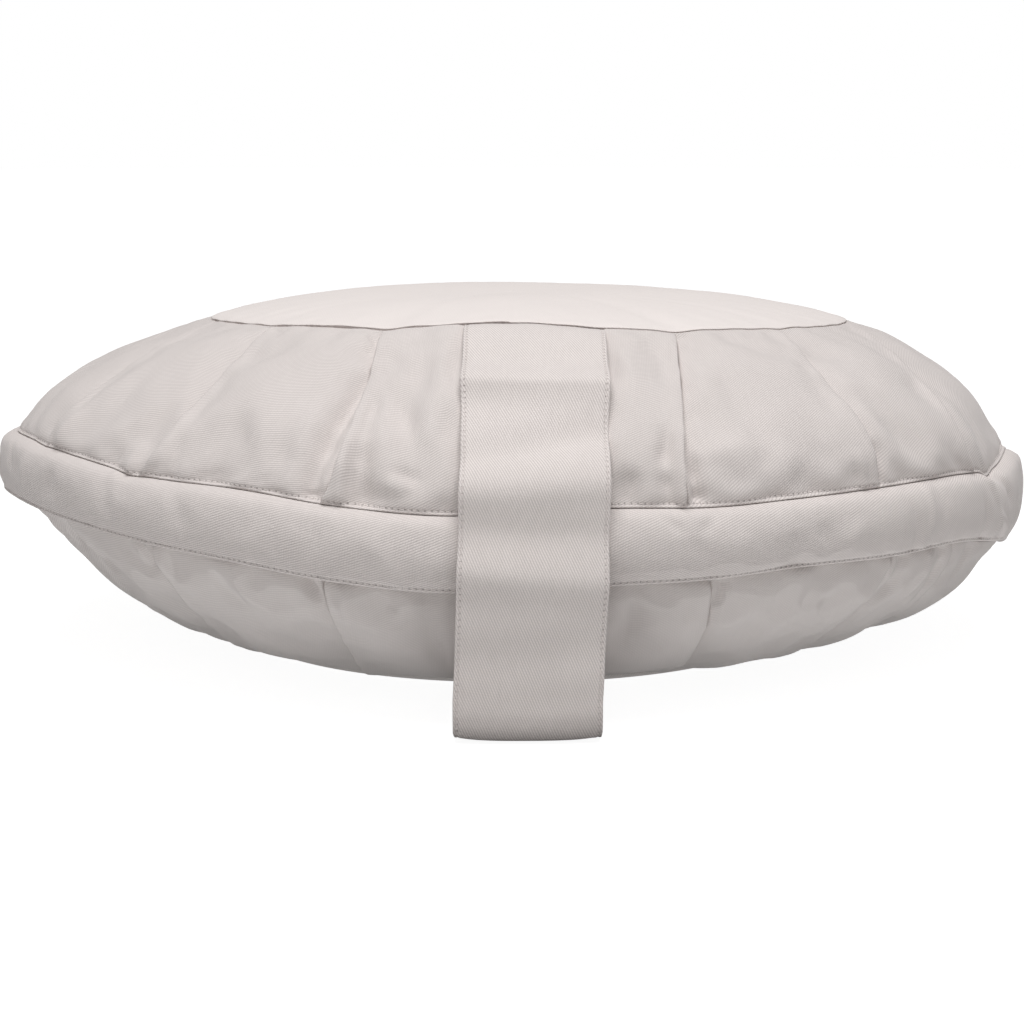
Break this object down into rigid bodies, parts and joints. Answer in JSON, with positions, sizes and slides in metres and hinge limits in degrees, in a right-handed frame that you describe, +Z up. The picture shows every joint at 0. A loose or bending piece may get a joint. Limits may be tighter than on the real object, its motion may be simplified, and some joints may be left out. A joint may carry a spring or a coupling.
{
  "type": "zafu meditation cushion",
  "caption": "Round filled meditation cushion with a crowned top panel, pleated sides, a sewn band round its widest part and a flat carry strap at the front.",
  "frame": {"origin": "on the floor, in the middle of the flat bottom panel", "axes": "+Z up through the top panel, -Y towards the carry strap at the front, +X to the right seen from the front"},
  "size_m": [0.3596, 0.3638, 0.1238],
  "materials": {
    "side_cloth": "matt cotton twill, pale warm grey",
    "panel_cloth": "matt cotton twill, pale warm grey",
    "band_cloth": "matt cotton twill, pale warm grey",
    "strap_cloth": "matt cotton twill with topstitched edges"
  },
  "bodies": {
    "root": {"pleated_body": "side_cloth", "top_panel": "panel_cloth", "bottom_panel": "panel_cloth", "side_band": "band_cloth", "carry_strap": "strap_cloth"}
  },
  "joints": []
}
